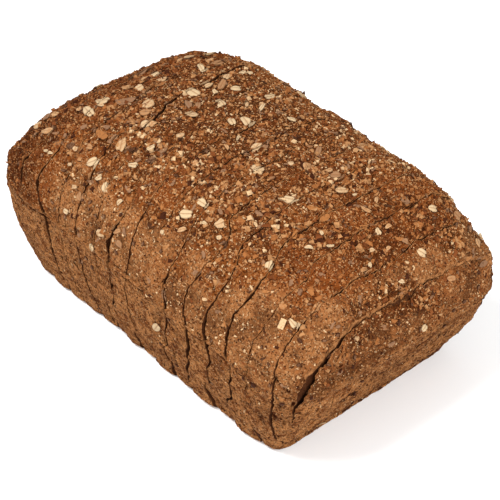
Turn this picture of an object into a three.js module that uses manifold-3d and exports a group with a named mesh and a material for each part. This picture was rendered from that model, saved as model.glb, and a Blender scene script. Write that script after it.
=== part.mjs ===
// Wheatmeal grain loaf: a dense brown tin loaf, sliced from end to end and left standing whole.
// Rolled oats, husks and seeds are baked into its crown, and a few are stuck to its walls.
// Millimetres, +Z up, the loaf's length along X, the thin right heel at +X and the near long wall at -Y.
import * as THREE from 'three';
import { mergeVertices } from 'three/addons/utils/BufferGeometryUtils.js';
import Module from 'manifold-3d';

// What the tin shaped: a flat foot with a rounded edge, and walls that lean out up to a soft rim.
const FOOT_HALF_LENGTH = 85;
const FOOT_HALF_WIDTH = 55;
const FOOT_EDGE_RADIUS = 4.5;
const RIGHT_END_LEAN = 17.6;
const LEFT_END_LEAN = 14.8;
const SIDE_LEAN = 10.2;
const WALL_BULGE = 2;
const RIM_HEIGHT = 53;
const RIM_DROP_AT_ENDS = 4.2;
const RIM_TILT = -2.3;
const RIM_LIP = 1.1;
const RIM_LIP_REACH = 0.1;
const FOOT_SQUARENESS = 18;
const RIM_SQUARENESS = 8.2;

// The crown: a pillow that rises steeply from the rim and is nearly level over the middle.
const CROWN_HEIGHT = 100;
const CROWN_LENGTH_POWER = 3.9;
const CROWN_LENGTH_ROOT = 2;
const CROWN_WIDTH_POWER = 3.1;
const CROWN_WIDTH_ROOT = 1.75;

// Broad swellings and hollows of the crown: where each lies, how far it reaches and how much it rises.
const SWELLINGS = [
  { x: -46, y: 46, reach: 24, rise: 3.4 },
  { x: 80, y: 50, reach: 22, rise: 5 },
  { x: -80, y: -8, reach: 22, rise: -1.5 },
  { x: 80, y: -40, reach: 22, rise: -1.1 },
  { x: 96, y: 60, reach: 14, rise: -12 },
];

// Fine unevenness of the crust: shallow waves that run in every direction.
const CRUST_WAVE_COUNT = 9;
const CRUST_WAVE_SHORTEST = 16;
const CRUST_WAVE_LONGEST = 44;
const CRUST_WAVE_HEIGHT = 0.17;

// The cuts. Cut 0 is next to the right heel, and the last cuts at that end lean out with the end wall.
const SLICE_PITCH = 12.1;
const CUT_COUNT = 15;
const FIRST_CUT_X = 99.4;
const KERF = 0.36;
const CUT_LEAN = 0.05;
const CUT_LEAN_POWER = 4;

// Cuts that gape: how wide they open, where they are widest, and how far the opening reaches.
const GAPES = {
  0: { width: 2.6, y: -58, z: 38, reachY: 22, reachZ: 30 },
  9: { width: 2.6, y: -66, z: 50, reachY: 16, reachZ: 22 },
  13: { width: 1.5, y: -64, z: 46, reachY: 18, reachZ: 24 },
};

// How far a slice has moved sideways or sunk since it was cut.
const SIDE_SHIFT = 0.55;
const SINKING = 0.005;
const RIGHT_HEEL_SINKING = 0.016;

// Toppings, the largest kind first. Spacing is the least distance between the middles of two of a kind.
const TOPPINGS = [
  { length: 7.4, width: 4.8, thickness: 1.8, onCrown: 64, onWalls: 6, spacing: 9 },
  { length: 5.6, width: 2.6, thickness: 1.5, onCrown: 32, onWalls: 4, spacing: 7 },
  { length: 4.4, width: 2.5, thickness: 1.7, onCrown: 22, onWalls: 4, spacing: 6 },
];
const TOPPING_SIZE_SPREAD = 0.2;
const TOPPING_TILT = 0.2;
const TOPPING_SIDES = 6;
const TOPPING_RINGS = 3;
const TOPPING_RIM_MARGIN = 8;
const TOPPED_HALF_WIDTH = 48;
const TOPPED_MIDDLE = -30;
const TOPPED_HALF_LENGTH = 130;
const WALL_TOPPING_MARGIN = 0.1;
const WALL_TOPPING_TOP = 0.8;
const DRAWS_SEED = 20;

// How finely the skin is divided.
const LONG_SIDE_STEPS = 18;
const SHORT_SIDE_STEPS = 14;
const FOOT_EDGE_STEPS = 2;
const WALL_STEPS = 5;
const CROWN_STEPS = 9;
const GAPE_STEPS = 6;
const SMALLEST_DETAIL = 0.03;

const CRUST_COLOUR = 0x8a5330;
const CRUST_ROUGHNESS = 0.92;

const RIM_HALF_WIDTH = FOOT_HALF_WIDTH + SIDE_LEAN;
const GOLDEN_ANGLE = Math.PI * (3 - Math.sqrt(5));
const UP = new THREE.Vector3(0, 0, 1);

const wasm = await Module();
wasm.setup();

// Repeatable draws between 0 and 1, by a linear congruential rule.
function makeDraw(seed) {
  const factor = 1664525;
  const step = 1013904223;
  const modulus = 2 ** 32;
  let state = seed;
  return () => {
    state = (state * factor + step) % modulus;
    return state / modulus;
  };
}

const draw = makeDraw(DRAWS_SEED);

function between(low, high) {
  return low + (high - low) * draw();
}

function bell(distance) {
  return Math.exp(-distance * distance);
}

const crustWaves = Array.from({ length: CRUST_WAVE_COUNT }, (unused, index) => {
  const turn = index * GOLDEN_ANGLE;
  const share = index / CRUST_WAVE_COUNT;
  const length = CRUST_WAVE_SHORTEST + (CRUST_WAVE_LONGEST - CRUST_WAVE_SHORTEST) * share;
  const pace = (2 * Math.PI) / length;
  return { x: pace * Math.cos(turn), y: pace * Math.sin(turn), start: turn * index };
});

// Place on the edge of a unit square, for a share from 0 to 1 of each of its four sides in turn.
function squareEdge(side, share) {
  const along = 2 * share - 1;
  return [[1, along], [-along, 1], [-1, -along], [along, -1]][side];
}

function squareWalk() {
  return [0, 1, 2, 3].flatMap((side) => {
    const steps = side % 2 ? LONG_SIDE_STEPS : SHORT_SIDE_STEPS;
    return Array.from({ length: steps }, (unused, step) => squareEdge(side, step / steps));
  });
}

// How far along the loaf a place is: -1 at the left end's rim and 1 at the right end's.
function shareAlong(x) {
  const rimX = FOOT_HALF_LENGTH + (x > 0 ? RIGHT_END_LEAN : LEFT_END_LEAN);
  return Math.max(-1, Math.min(1, x / rimX));
}

function rimHeight(along) {
  return RIM_HEIGHT + RIM_TILT * along - RIM_DROP_AT_ENDS * along * along;
}

// Point of the skin that the tin shaped. The lean goes from 0 at the foot to 1 at the rim.
function wallPoint([squareX, squareY], lean, inset = 0) {
  const power = FOOT_SQUARENESS + (RIM_SQUARENESS - FOOT_SQUARENESS) * lean;
  const reach = (Math.abs(squareX) ** power + Math.abs(squareY) ** power) ** (1 / power);
  const lip = RIM_LIP * bell((1 - lean) / RIM_LIP_REACH);
  const growth = WALL_BULGE * Math.sin(Math.PI * lean) + lip - inset;
  const halfLength = FOOT_HALF_LENGTH + (squareX > 0 ? RIGHT_END_LEAN : LEFT_END_LEAN) * lean + growth;
  const halfWidth = FOOT_HALF_WIDTH + SIDE_LEAN * lean + growth;
  const x = (squareX / reach) * halfLength;
  const y = (squareY / reach) * halfWidth;
  const z = FOOT_EDGE_RADIUS + (rimHeight(shareAlong(x)) - FOOT_EDGE_RADIUS) * lean;
  return new THREE.Vector3(x, y, z);
}

function footEdgePoint(square, turn) {
  const point = wallPoint(square, 0, FOOT_EDGE_RADIUS * (1 - Math.sin(turn)));
  point.z = FOOT_EDGE_RADIUS * (1 - Math.cos(turn));
  return point;
}

function crownPoint(x, y) {
  const along = shareAlong(x);
  const across = Math.min(1, Math.abs(y / RIM_HALF_WIDTH));
  const archAlong = (1 - Math.abs(along) ** CROWN_LENGTH_POWER) ** (1 / CROWN_LENGTH_ROOT);
  const archAcross = (1 - across ** CROWN_WIDTH_POWER) ** (1 / CROWN_WIDTH_ROOT);
  let rise = CROWN_HEIGHT - RIM_HEIGHT;
  for (const swelling of SWELLINGS) {
    rise += swelling.rise * bell(Math.hypot(x - swelling.x, y - swelling.y) / swelling.reach);
  }
  for (const wave of crustWaves) {
    rise += CRUST_WAVE_HEIGHT * Math.sin(wave.x * x + wave.y * y + wave.start);
  }
  return new THREE.Vector3(x, y, rimHeight(along) + rise * archAlong * archAcross);
}

// The skin as rings of points, from the edge of the foot up the walls and in over the crown.
function skinRings() {
  const walk = squareWalk();
  const rings = [];
  for (let step = 0; step <= FOOT_EDGE_STEPS; step += 1) {
    const turn = (Math.PI / 2) * (step / FOOT_EDGE_STEPS);
    rings.push(walk.map((square) => footEdgePoint(square, turn)));
  }
  for (let step = 1; step <= WALL_STEPS; step += 1) {
    rings.push(walk.map((square) => wallPoint(square, step / WALL_STEPS)));
  }
  const rim = rings[rings.length - 1];
  for (let step = 1; step < CROWN_STEPS; step += 1) {
    const share = Math.cos((Math.PI / 2) * (step / CROWN_STEPS));
    rings.push(rim.map((point) => crownPoint(point.x * share, point.y * share)));
  }
  return rings;
}

function loafGeometry() {
  const rings = skinRings();
  const round = rings[0].length;
  const points = [...rings.flat(), new THREE.Vector3(0, 0, 0), crownPoint(0, 0)];
  const footMiddle = points.length - 2;
  const crownMiddle = points.length - 1;
  const lastRing = (rings.length - 1) * round;
  const corners = [];
  for (let place = 0; place < round; place += 1) {
    const next = (place + 1) % round;
    corners.push(footMiddle, next, place);
    corners.push(crownMiddle, lastRing + place, lastRing + next);
    for (let low = 0; low < lastRing; low += round) {
      const high = low + round;
      corners.push(low + place, low + next, high + place);
      corners.push(low + next, high + next, high + place);
    }
  }
  return new THREE.BufferGeometry().setFromPoints(points).setIndex(corners);
}

function toSolid(geometry) {
  geometry.deleteAttribute('normal');
  geometry.deleteAttribute('uv');
  const merged = mergeVertices(geometry);
  const vertProperties = new Float32Array(merged.attributes.position.array);
  const triVerts = new Uint32Array(merged.index.array);
  return new wasm.Manifold(new wasm.Mesh({ numProp: 3, vertProperties, triVerts }));
}

function toGeometry(solid) {
  const mesh = solid.getMesh();
  const geometry = new THREE.BufferGeometry();
  geometry.setAttribute('position', new THREE.BufferAttribute(mesh.vertProperties, 3));
  geometry.setIndex(new THREE.BufferAttribute(mesh.triVerts, 1));
  return geometry;
}

// Outward direction of the skin at a point, from two neighbours that lie to its right and ahead of it.
function outward(point, right, ahead) {
  return right.sub(point).cross(ahead.sub(point)).normalize();
}

function crownSpot(x, y) {
  const at = crownPoint(x, y);
  return { at, out: outward(at, crownPoint(x + 1, y), crownPoint(x, y + 1)) };
}

function wallSpot(side, share, lean) {
  const step = 0.01;
  const at = wallPoint(squareEdge(side, share), lean);
  const right = wallPoint(squareEdge(side, share + step), lean);
  return { at, out: outward(at, right, wallPoint(squareEdge(side, share), lean + step)) };
}

// Draws places until enough of them lie clear of the ones already taken.
function drawSpots(count, spacing, taken, drawSpot) {
  const spots = [];
  while (spots.length < count) {
    const spot = drawSpot();
    if (spot && taken.every((other) => other.distanceTo(spot.at) > spacing)) {
      taken.push(spot.at);
      spots.push(spot);
    }
  }
  return spots;
}

// Toppings lie thickest along the middle of the crown, and thin out towards the rim and the right heel.
function drawCrownSpot() {
  const x = between(TOPPING_RIM_MARGIN - FOOT_HALF_LENGTH - LEFT_END_LEAN, FOOT_HALF_LENGTH);
  const y = between(TOPPING_RIM_MARGIN - RIM_HALF_WIDTH, RIM_HALF_WIDTH - TOPPING_RIM_MARGIN);
  const thickness = bell(y / TOPPED_HALF_WIDTH) * bell((x - TOPPED_MIDDLE) / TOPPED_HALF_LENGTH);
  return draw() < thickness ? crownSpot(x, y) : null;
}

function drawWallSpot() {
  const side = Math.floor(between(0, 4));
  const share = between(WALL_TOPPING_MARGIN, 1 - WALL_TOPPING_MARGIN);
  return wallSpot(side, share, between(WALL_TOPPING_MARGIN, WALL_TOPPING_TOP));
}

// A flake or grain that lies on the crust, half sunk into it.
function toppingGeometry(topping, spot) {
  const size = between(1 - TOPPING_SIZE_SPREAD, 1 + TOPPING_SIZE_SPREAD);
  const geometry = new THREE.SphereGeometry(0.5, TOPPING_SIDES, TOPPING_RINGS);
  geometry.rotateX(Math.PI / 2);
  geometry.scale(topping.length * size, topping.width * size, topping.thickness * size);
  geometry.rotateZ(between(0, Math.PI));
  geometry.rotateX(between(-TOPPING_TILT, TOPPING_TILT));
  geometry.applyQuaternion(new THREE.Quaternion().setFromUnitVectors(UP, spot.out));
  geometry.translate(spot.at.x, spot.at.y, spot.at.z);
  return geometry;
}

// The whole loaf, uncut, with its toppings fused on.
function toppedLoaf() {
  const taken = [];
  let solid = toSolid(loafGeometry());
  for (const topping of TOPPINGS) {
    const spots = [
      ...drawSpots(topping.onCrown, topping.spacing, taken, drawCrownSpot),
      ...drawSpots(topping.onWalls, topping.spacing, taken, drawWallSpot),
    ];
    for (const spot of spots) {
      solid = solid.add(toSolid(toppingGeometry(topping, spot)));
    }
  }
  return solid;
}

// Middle of a cut at one height.
function cutX(cut, z) {
  const x = FIRST_CUT_X - SLICE_PITCH * cut;
  const lean = x > 0 ? CUT_LEAN * (x / FIRST_CUT_X) ** CUT_LEAN_POWER : 0;
  return x - lean * (CROWN_HEIGHT - z);
}

function halfKerf(cut, y, z) {
  const gape = GAPES[cut];
  if (!gape) {
    return KERF / 2;
  }
  const nearness = bell((y - gape.y) / gape.reachY) * bell((z - gape.z) / gape.reachZ);
  return (KERF + gape.width * nearness) / 2;
}

// The room of one slice: all that lies between the cut on its right and the cut on its left.
function sliceRoom(index) {
  const gapes = GAPES[index] || GAPES[index - 1];
  const steps = gapes ? GAPE_STEPS : 1;
  const width = 3 * RIM_HALF_WIDTH;
  const height = 2 * CROWN_HEIGHT;
  const geometry = new THREE.BoxGeometry(6 * FOOT_HALF_LENGTH, width, height, 1, 2 * steps, 2 * steps);
  const position = geometry.attributes.position;
  for (let corner = 0; corner < position.count; corner += 1) {
    const isRight = position.getX(corner) > 0;
    const cut = isRight ? index - 1 : index;
    if (cut >= 0 && cut < CUT_COUNT) {
      const y = position.getY(corner);
      const z = position.getZ(corner);
      position.setX(corner, cutX(cut, z) + (isRight ? -1 : 1) * halfKerf(cut, y, z));
    }
  }
  return geometry;
}

// Leaves out crumbs of topping that a cut has parted from their slice, and fills any sealed hollow.
function largestPiece(solid) {
  const pieces = solid.simplify(SMALLEST_DETAIL).decompose();
  return pieces.reduce((best, piece) => (piece.volume() > best.volume() ? piece : best));
}

function sliceName(index) {
  if (index === 0) {
    return 'heel_right';
  }
  return index === CUT_COUNT ? 'heel_left' : `slice_${String(index).padStart(2, '0')}`;
}

function makeSlice(loaf, index) {
  const geometry = toGeometry(largestPiece(loaf.intersect(toSolid(sliceRoom(index)))));
  const material = new THREE.MeshStandardMaterial({
    color: CRUST_COLOUR,
    roughness: CRUST_ROUGHNESS,
    metalness: 0,
  });
  const slice = new THREE.Mesh(geometry, material);
  slice.name = sliceName(index);
  slice.position.y = SIDE_SHIFT * Math.sin(GOLDEN_ANGLE * index * index);
  slice.scale.z = 1 - (index === 0 ? RIGHT_HEEL_SINKING : SINKING * Math.sin(GOLDEN_ANGLE * index) ** 2);
  return slice;
}

const loaf = toppedLoaf();
const group = new THREE.Group();
for (let index = 0; index <= CUT_COUNT; index += 1) {
  group.add(makeSlice(loaf, index));
}

// The origin is the middle of the loaf's foot.
const bounds = new THREE.Box3().setFromObject(group);
const middle = bounds.getCenter(new THREE.Vector3());
group.position.set(-middle.x, -middle.y, -bounds.min.z);

export default group;
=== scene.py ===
import math

import bpy
import numpy as np
from mathutils import Matrix, Vector
from mathutils.bvhtree import BVHTree


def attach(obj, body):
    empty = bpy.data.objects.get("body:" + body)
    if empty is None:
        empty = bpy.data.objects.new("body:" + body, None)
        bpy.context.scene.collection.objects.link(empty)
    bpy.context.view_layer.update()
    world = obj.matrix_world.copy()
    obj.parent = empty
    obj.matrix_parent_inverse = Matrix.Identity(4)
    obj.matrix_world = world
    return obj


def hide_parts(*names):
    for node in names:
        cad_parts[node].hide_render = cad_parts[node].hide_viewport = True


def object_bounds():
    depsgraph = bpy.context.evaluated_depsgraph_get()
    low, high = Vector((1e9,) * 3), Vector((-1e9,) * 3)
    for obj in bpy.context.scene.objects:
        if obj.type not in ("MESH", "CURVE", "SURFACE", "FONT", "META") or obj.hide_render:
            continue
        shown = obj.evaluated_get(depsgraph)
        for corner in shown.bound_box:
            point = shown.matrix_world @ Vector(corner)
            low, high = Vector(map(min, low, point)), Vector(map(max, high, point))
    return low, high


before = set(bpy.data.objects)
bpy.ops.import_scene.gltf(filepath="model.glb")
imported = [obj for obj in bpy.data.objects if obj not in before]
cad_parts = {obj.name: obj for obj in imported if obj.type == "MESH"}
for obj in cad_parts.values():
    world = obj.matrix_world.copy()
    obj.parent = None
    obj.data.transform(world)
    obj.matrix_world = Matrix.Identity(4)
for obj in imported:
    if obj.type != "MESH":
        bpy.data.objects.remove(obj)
cad_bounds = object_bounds()

MM = 0.001


# ---- The camera ----
# It stands where the photograph was taken from: near the loaf's front right corner, looking down on it. The
# flakes that show best are placed by where it sees them, so it comes first.
VIEW_AZIMUTH = math.radians(47.22)
VIEW_ELEVATION = math.radians(37.63)
VIEW_ROLL = math.radians(1.49)
VIEW_DISTANCE = 643.2
VIEW_TARGET = Vector((10.67, -4.42, 41.8))
FOCAL_PIXELS = 1465.1
PICTURE_PIXELS = 500
SENSOR = 36

view_back = Vector((
    math.sin(VIEW_AZIMUTH) * math.cos(VIEW_ELEVATION),
    -math.cos(VIEW_AZIMUTH) * math.cos(VIEW_ELEVATION),
    math.sin(VIEW_ELEVATION),
))
level_right = Vector((0, 0, 1)).cross(view_back).normalized()
level_up = view_back.cross(level_right)
view_right = math.cos(VIEW_ROLL) * level_right + math.sin(VIEW_ROLL) * level_up
view_up = math.cos(VIEW_ROLL) * level_up - math.sin(VIEW_ROLL) * level_right
view_eye = VIEW_TARGET + VIEW_DISTANCE * view_back

bpy.ops.object.select_all(action="DESELECT")
bpy.ops.object.camera_add()
camera = bpy.context.object
camera.name = "camera"
turned = Matrix((view_right, view_up, view_back)).transposed()
camera.matrix_world = Matrix.Translation(view_eye * MM) @ turned.to_4x4()
camera.data.sensor_width = SENSOR
camera.data.lens = FOCAL_PIXELS / PICTURE_PIXELS * SENSOR
bpy.context.scene.camera = camera


def ray_through(picture_x, picture_y):
    """Direction from the eye through a point of the picture."""
    half = PICTURE_PIXELS / 2
    across = view_right * (picture_x - half) - view_up * (picture_y - half)
    return (across - view_back * FOCAL_PIXELS).normalized()


# ---- The baked loaf, before it is cut ----
# One skin: a flat foot with a rounded edge, walls that the tin shaped, leaning out up to a soft rim, and
# over them the crown, a pillow of dough that rose out of the tin. Its form is the frame's; the fine relief
# is the dough's own.
FOOT_HALF_LENGTH = 85
FOOT_HALF_WIDTH = 55
FOOT_EDGE_RADIUS = 4.5
RIGHT_END_LEAN = 17.6
LEFT_END_LEAN = 14.8
SIDE_LEAN = 10.2
WALL_BULGE = 2
RIM_HEIGHT = 53
RIM_DROP_AT_ENDS = 4.2
RIM_TILT = -2.3
RIM_LIP = 1.1
RIM_LIP_REACH = 0.1
FOOT_SQUARENESS = 18
RIM_SQUARENESS = 8.2
CROWN_HEIGHT = 100
CROWN_LENGTH_POWER = 3.9
CROWN_LENGTH_ROOT = 2
CROWN_WIDTH_POWER = 3.1
CROWN_WIDTH_ROOT = 1.75
MEAN_CROWN_POWER = 3.5
MEAN_CROWN_EXPONENT = 0.55
CROWN_START = 0.985  # share of the way out at which the crown's curve gives way to the rim's steep edge
SWELLINGS = ((-46, 46, 24, 3.4), (80, 50, 22, 5), (-80, -8, 22, -1.5), (80, -40, 22, -1.1),
             (96, 60, 14, -12))  # x, y, reach, rise
CRUST_WAVE_COUNT = 9
CRUST_WAVE_SHORTEST = 16
CRUST_WAVE_LONGEST = 44
CRUST_WAVE_HEIGHT = 0.17
RIM_HALF_WIDTH = FOOT_HALF_WIDTH + SIDE_LEAN
GOLDEN_ANGLE = math.pi * (3 - math.sqrt(5))
LOAF_SHIFT = (LEFT_END_LEAN - RIGHT_END_LEAN) / 2  # puts the middle of the loaf's length at x = 0

LONG_CELLS = 380
SHORT_CELLS = 270
WALL_CELLS = 84
SHARES_TRIED = 4001
FOOT_EDGE_SHARE = 0.12  # of the wall's cells, those that turn round the foot's edge


def bell(distance):
    return np.exp(-np.square(distance))


def smooth_step(low, high, value):
    share = np.clip((value - low) / (high - low), 0, 1)
    return share * share * (3 - 2 * share)


def share_along(x):
    return np.clip(x / (FOOT_HALF_LENGTH + np.where(x > 0, RIGHT_END_LEAN, LEFT_END_LEAN)), -1, 1)


def rim_height(along):
    return RIM_HEIGHT + RIM_TILT * along - RIM_DROP_AT_ENDS * along**2


def wall_points(square_x, square_y, lean, inset=0):
    """Places on the skin that the tin shaped, for places on a unit square's edge. Lean is 1 at the rim."""
    power = FOOT_SQUARENESS + (RIM_SQUARENESS - FOOT_SQUARENESS) * lean
    reach = (np.abs(square_x) ** power + np.abs(square_y) ** power) ** (1 / power)
    growth = WALL_BULGE * np.sin(np.pi * lean) + RIM_LIP * bell((1 - lean) / RIM_LIP_REACH) - inset
    end_lean = np.where(square_x > 0, RIGHT_END_LEAN, LEFT_END_LEAN)
    x = square_x / reach * (FOOT_HALF_LENGTH + end_lean * lean + growth)
    y = square_y / reach * (FOOT_HALF_WIDTH + SIDE_LEAN * lean + growth)
    z = FOOT_EDGE_RADIUS + (rim_height(share_along(x)) - FOOT_EDGE_RADIUS) * lean
    return np.stack([x, y, z], axis=-1)


def crown_height_at(x, y):
    along = share_along(x)
    across = np.clip(np.abs(y) / RIM_HALF_WIDTH, 0, 1)
    arch = (1 - np.abs(along) ** CROWN_LENGTH_POWER) ** (1 / CROWN_LENGTH_ROOT)
    arch = arch * (1 - across**CROWN_WIDTH_POWER) ** (1 / CROWN_WIDTH_ROOT)
    rise = CROWN_HEIGHT - RIM_HEIGHT
    for middle_x, middle_y, reach, height in SWELLINGS:
        rise = rise + height * bell(np.hypot(x - middle_x, y - middle_y) / reach)
    for wave in range(CRUST_WAVE_COUNT):
        turn = wave * GOLDEN_ANGLE
        length = CRUST_WAVE_SHORTEST + (CRUST_WAVE_LONGEST - CRUST_WAVE_SHORTEST) * wave / CRUST_WAVE_COUNT
        phase = 2 * math.pi / length * (x * math.cos(turn) + y * math.sin(turn)) + turn * wave
        rise = rise + CRUST_WAVE_HEIGHT * np.sin(phase)
    return rim_height(along) + rise * arch


def crown_points(rim, share):
    """Places on the crown, a share of the way from its middle out to places on the rim."""
    inner = np.minimum(share, CROWN_START)
    x = rim[:, 0] * share
    y = rim[:, 1] * share
    z = crown_height_at(rim[:, 0] * inner, rim[:, 1] * inner)
    edge = np.clip((share - CROWN_START) / (1 - CROWN_START), 0, 1)
    return np.stack([x, y, z + (rim[:, 2] - z) * edge], axis=-1)


def even_shares(steps):
    """Shares of the way out over the crown that keep its cells as long on the steep edge as on top."""
    shares = np.linspace(0, 1, SHARES_TRIED)
    arch = (1 - np.minimum(shares, CROWN_START) ** MEAN_CROWN_POWER) ** MEAN_CROWN_EXPONENT
    edge = np.clip((shares - CROWN_START) / (1 - CROWN_START), 0, 1)
    heights = (CROWN_HEIGHT - RIM_HEIGHT) * arch * (1 - edge)
    outward = RIM_HALF_WIDTH * shares
    run = np.concatenate([[0], np.cumsum(np.hypot(np.diff(outward), np.diff(heights)))])
    return np.interp(steps, run / run[-1], shares)


def add_box_of_cells(name, cells_x, cells_y, cells_up):
    """A box 2 by 2 by 1, divided into cells all over: the start of the loaf and of each cut."""
    bpy.ops.object.select_all(action="DESELECT")
    bpy.ops.mesh.primitive_grid_add(x_subdivisions=cells_x, y_subdivisions=cells_y, size=2)
    box = bpy.context.object
    box.name = name
    bpy.ops.object.mode_set(mode="EDIT")
    bpy.ops.mesh.duplicate_move(TRANSFORM_OT_translate={"value": (0, 0, 1)})
    bpy.ops.mesh.select_all(action="SELECT")
    bpy.ops.mesh.region_to_loop()
    bpy.ops.mesh.bridge_edge_loops(number_cuts=cells_up - 1)
    bpy.ops.mesh.select_all(action="SELECT")
    bpy.ops.mesh.normals_make_consistent(inside=False)
    bpy.ops.object.mode_set(mode="OBJECT")
    return box


def read_points(piece):
    points = np.empty(len(piece.data.vertices) * 3, np.float32)
    piece.data.vertices.foreach_get("co", points)
    return points.reshape(-1, 3).astype(float)


def write_points(piece, points):
    piece.data.vertices.foreach_set("co", points.astype(np.float32).ravel())
    piece.data.update()


def read_normals(piece):
    normals = np.empty(len(piece.data.vertices) * 3, np.float32)
    piece.data.vertices.foreach_get("normal", normals)
    return normals.reshape(-1, 3).astype(float)


def write_attribute(piece, name, values):
    attribute = piece.data.attributes.new(name, "FLOAT", "POINT")
    attribute.data.foreach_set("value", values.astype(np.float32))


loaf = add_box_of_cells("loaf", LONG_CELLS, SHORT_CELLS, WALL_CELLS)
unit = read_points(loaf)
share_out = np.maximum(np.abs(unit[:, 0]), np.abs(unit[:, 1]))
nearest = np.maximum(share_out, 1e-9)
square_x = np.where(share_out > 0, unit[:, 0] / nearest, 1)
square_y = np.where(share_out > 0, unit[:, 1] / nearest, 0)
on_crown = unit[:, 2] > 1 - 1e-6
on_foot = unit[:, 2] < 1e-6
turn = np.clip(unit[:, 2] / FOOT_EDGE_SHARE, 0, 1) * math.pi / 2
lean = np.clip((unit[:, 2] - FOOT_EDGE_SHARE) / (1 - FOOT_EDGE_SHARE), 0, 1)
skin = wall_points(square_x, square_y, lean, FOOT_EDGE_RADIUS * (1 - np.sin(turn)) * (lean == 0))
skin[:, 2] = np.where(lean > 0, skin[:, 2], FOOT_EDGE_RADIUS * (1 - np.cos(turn)))
rim = wall_points(square_x, square_y, np.ones(len(unit)))
crown = crown_points(rim, even_shares(share_out))
skin[on_crown] = crown[on_crown]
skin[on_foot, :2] *= share_out[on_foot, None]
skin[:, 0] += LOAF_SHIFT
write_points(loaf, skin * MM)
smooth_normals = read_normals(loaf)
loaf_polygons = np.empty(len(loaf.data.polygons) * 4, np.int32)
loaf.data.polygons.foreach_get("vertices", loaf_polygons)
loaf_polygons = loaf_polygons.reshape(-1, 4)
smooth_loaf = BVHTree.FromPolygons(skin.tolist(), loaf_polygons.tolist())


def seen_at(picture_x, picture_y):
    """Place on the loaf that shows at a point of the picture, and the skin's direction there."""
    place, out, _, _ = smooth_loaf.ray_cast(view_eye, ray_through(picture_x, picture_y))
    return place, out


# Where the crushed grain lies thick, and where the dough blistered and baked smooth. Each blister is read
# from the photograph: its place there, and its reach in millimetres. So is each furrow, a hollow that the
# coarsest bits fill.
BLISTERS = (
    (187, 123, 6), (232, 168, 6), (291, 174, 7), (86, 160, 8), (100, 192, 10), (52, 170, 8), (70, 196, 9),
    (392, 185, 6), (352, 216, 6), (345, 280, 9), (282, 288, 7), (238, 300, 8), (165, 187, 8), (440, 236, 6),
    (118, 116, 4), (262, 140, 4), (330, 308, 8), (200, 260, 6), (452, 285, 6), (150, 266, 9),
)
FURROWS = (
    ((118, 114), (134, 120), (146, 135), (158, 153), (176, 166), (198, 173), (213, 185)),
    ((182, 153), (205, 156), (228, 162), (251, 156), (274, 147)),
    ((213, 185), (233, 205), (251, 211), (274, 213)),
    ((260, 228), (283, 234), (321, 236), (352, 237), (367, 243)),
    ((314, 165), (324, 182), (346, 180), (370, 174)),
    ((405, 194), (425, 219), (444, 234), (459, 243)),
    ((387, 297), (413, 295), (436, 303)),
)
FURROW_REACH = 4.5
FURROW_DEPTH = 0.9
BLISTER_RISE = 0.8
BLISTER_RIM = 0.45
WAVE_DRAWS = np.random.default_rng(7)


def rough_waves(points, shortest, longest, count=14):
    """A gentle random swell from -1 to 1: waves of many lengths that run in all directions."""
    total = np.zeros(len(points))
    for _ in range(count):
        heading = WAVE_DRAWS.normal(size=3)
        heading /= np.linalg.norm(heading)
        length = WAVE_DRAWS.uniform(shortest, longest)
        total += np.sin(points @ heading * (2 * math.pi / length) + WAVE_DRAWS.uniform(0, 2 * math.pi))
    return np.clip(total / math.sqrt(count / 2) / 2, -1, 1)


def distance_to_line(points, line):
    """How far each point is from a line of places."""
    nearest = np.full(len(points), np.inf)
    for start, end in zip(line[:-1], line[1:]):
        step = end - start
        share = np.clip((points - start) @ step / (step @ step), 0, 1)
        nearest = np.minimum(nearest, np.linalg.norm(points - start - share[:, None] * step, axis=1))
    return nearest


def line_seen(line):
    return [np.array(seen_at(*point)[0]) for point in line]


rim_z = rim_height(share_along(skin[:, 0] - LOAF_SHIFT))
height_share = np.clip((skin[:, 2] - rim_z) / (CROWN_HEIGHT - RIM_HEIGHT), 0, 1)
crown_mask = smooth_step(-1.5, 2.5, skin[:, 2] - rim_z)
patchy = rough_waves(skin, 14, 46)
patches = rough_waves(skin, 3, 12)
grain_cover = smooth_step(0.2, 0.85, height_share + 0.28 * patchy)
furrow_share = np.zeros(len(skin))
for line in FURROWS:
    furrow_share = np.maximum(furrow_share, bell(distance_to_line(skin, line_seen(line)) / FURROW_REACH))
blister_share = np.zeros(len(skin))
blister_rim = np.zeros(len(skin))
for picture_x, picture_y, reach in BLISTERS:
    place, _ = seen_at(picture_x, picture_y)
    outward = np.linalg.norm(skin - np.array(place), axis=1) * (1 + 0.22 * patches)
    blister_share = np.maximum(blister_share, bell(outward / reach))
    blister_rim = np.maximum(blister_rim, bell((outward - 1.1 * reach) / 0.6))
along = share_along(skin[:, 0] - LOAF_SHIFT)
high = smooth_step(0.5, 0.8, height_share)
browned = np.maximum(blister_share * high, 1.5 * smooth_step(0.4, 0.75, -along))
browned = np.maximum(browned, 1.3 * smooth_step(0.45, 0.9, along) * high)
browned = np.maximum(browned, 0.36 * smooth_step(0.925, 0.96, along))
bare = np.maximum(blister_share, smooth_step(0.45, 0.8, np.abs(along)) * np.where(along > 0, 0.6, 0.3))
grain_cover = np.clip(grain_cover * (1 - 0.9 * bare) + 0.7 * furrow_share, 0, 1)
grain_cover = crown_mask * (0.12 + 0.88 * grain_cover)


def add_weights(piece, name, values, levels=24):
    """A vertex group whose weights follow the given values, rounded to a few levels."""
    group = piece.vertex_groups.new(name=name)
    steps = np.rint(np.clip(values, 0, 1) * levels).astype(int)
    for level in range(1, levels + 1):
        members = np.flatnonzero(steps == level)
        if len(members):
            group.add(members.tolist(), level / levels, "REPLACE")


add_weights(loaf, "grain", grain_cover)
add_weights(loaf, "crown", crown_mask)
add_weights(loaf, "walls", (1 - crown_mask) * smooth_step(0.4, 3, skin[:, 2]))


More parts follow.
